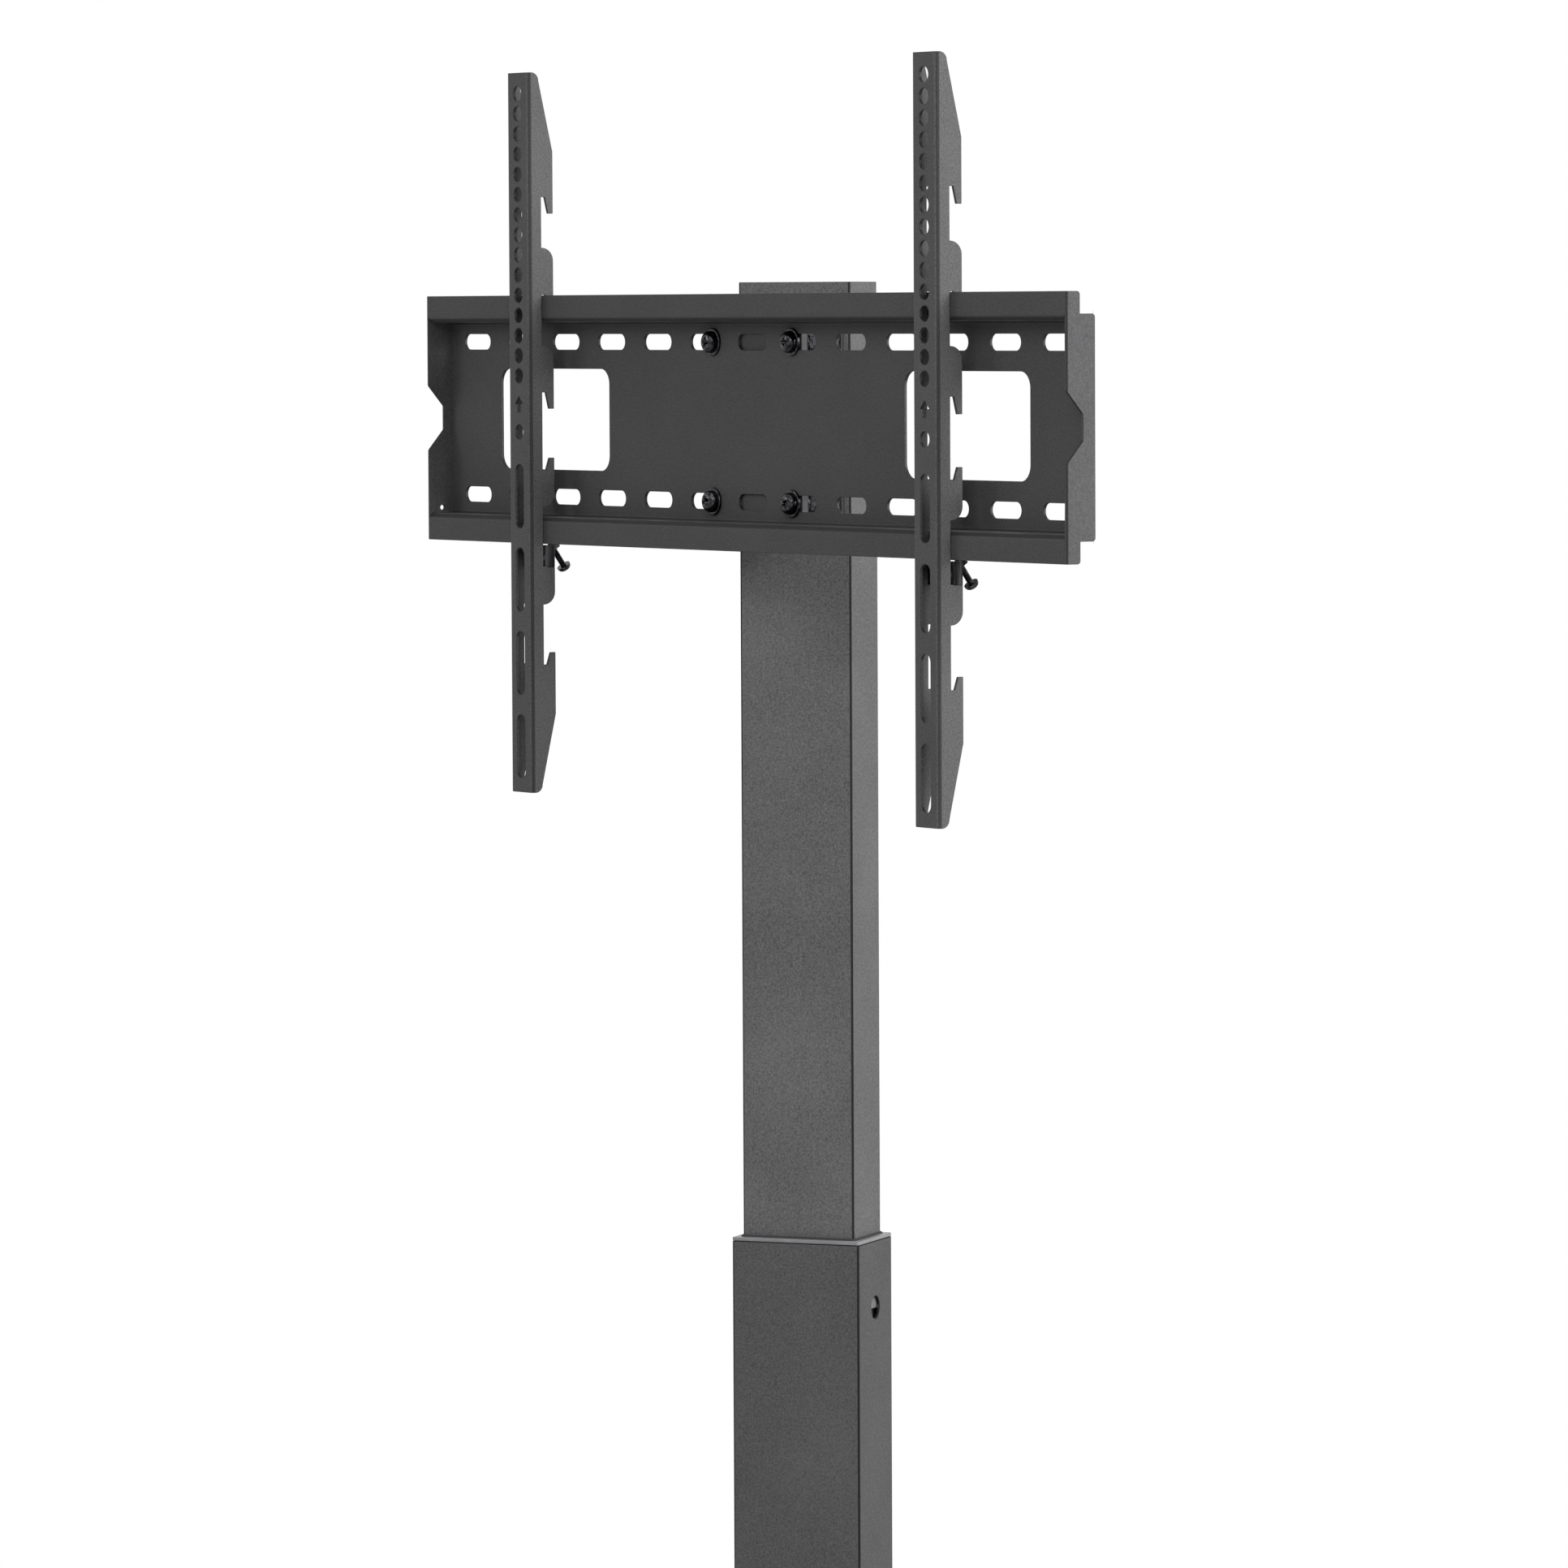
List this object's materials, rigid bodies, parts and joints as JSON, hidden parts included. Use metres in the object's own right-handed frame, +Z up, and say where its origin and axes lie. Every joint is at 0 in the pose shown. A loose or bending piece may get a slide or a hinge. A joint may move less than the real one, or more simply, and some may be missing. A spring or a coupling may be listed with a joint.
{
  "type": "television floor stand with swivel mount",
  "caption": "Floor stand with a telescopic rectangular column and a swivelling slotted wall plate that carries two hook-on screen arms.",
  "frame": {"origin": "on the floor, on the column's axis, at the foot of the centre pad", "axes": "+Z up, X along the wall plate with the stand's right arm at +X, -Y the way the screen faces in the pictured position; the column and base are turned 34.5 degrees about Z from the wall plate"},
  "size_m": [0.7671, 0.7155, 1.4531],
  "materials": {
    "head_paint": "fine textured matt powder coat, dark grey",
    "column_paint": "fine textured matt powder coat, dark grey",
    "black_steel": "glossy black coated steel",
    "bare_steel": "bare turned steel",
    "dark_plastic": "matt moulded plastic",
    "motor_black": "black lacquered motor can",
    "pad_rubber": "matt rubber",
    "glide_nylon": "natural moulded nylon"
  },
  "bodies": {
    "base": {"floor_plate": "column_paint", "floor_pads": "pad_rubber", "foot_flange": "column_paint", "foot_screws": "black_steel", "outer_tube": "column_paint", "collar_ring": "dark_plastic", "upper_glides": "glide_nylon", "motor_plate": "bare_steel", "gear_motor": "motor_black", "screw_bearing": "bare_steel", "power_inlet": "dark_plastic"},
    "screw": {"lead_screw": "bare_steel"},
    "carriage": {"inner_tube": "column_paint", "tube_cap": "dark_plastic", "lower_glide": "glide_nylon", "drive_nut": "glide_nylon", "column_bracket": "head_paint", "bracket_bolts": "black_steel", "pivot_pin": "black_steel", "pivot_washers": "glide_nylon", "pivot_nut": "black_steel"},
    "head": {"swivel_bracket": "head_paint", "pivot_barrel": "black_steel", "wall_plate": "head_paint", "plate_bolts": "black_steel", "plate_washers": "black_steel", "plate_nuts": "black_steel"},
    "left_arm": {"left_arm": "head_paint", "left_latch": "black_steel"},
    "right_arm": {"right_arm": "head_paint", "right_latch": "black_steel"},
    "left_lock": {"left_lock_screw": "black_steel"},
    "right_lock": {"right_lock_screw": "black_steel"}
  },
  "joints": [
    {"name": "lift", "type": "slide", "parent": "base", "child": "carriage", "axis": [0, 0, 1], "range_m": [-0.34, 0.1]},
    {"name": "screw_turn", "type": "hinge", "parent": "base", "child": "screw", "pos_m": [0, 0, 0.2], "axis": [0, 0, 1], "range_deg": [-6210, 1890]},
    {"name": "swivel", "type": "hinge", "parent": "carriage", "child": "head", "pos_m": [0.02662, -0.03873, 1.2377], "axis": [0, 0, 1], "range_deg": [-0.5, 69.5]},
    {"name": "left_arm_slide", "type": "slide", "parent": "head", "child": "left_arm", "axis": [1, 0, 0], "range_m": [-0.105, 0.172]},
    {"name": "right_arm_slide", "type": "slide", "parent": "head", "child": "right_arm", "axis": [1, 0, 0], "range_m": [-0.172, 0.105]},
    {"name": "left_lock_travel", "type": "slide", "parent": "left_arm", "child": "left_lock", "axis": [0, 0.5736, -0.8192], "range_m": [0, 0.004]},
    {"name": "right_lock_travel", "type": "slide", "parent": "right_arm", "child": "right_lock", "axis": [0, 0.5736, -0.8192], "range_m": [0, 0.004]}
  ],
  "couplings": [
    {"joint": "screw_turn", "follows": "lift", "rad_per_m": 314.16}
  ]
}
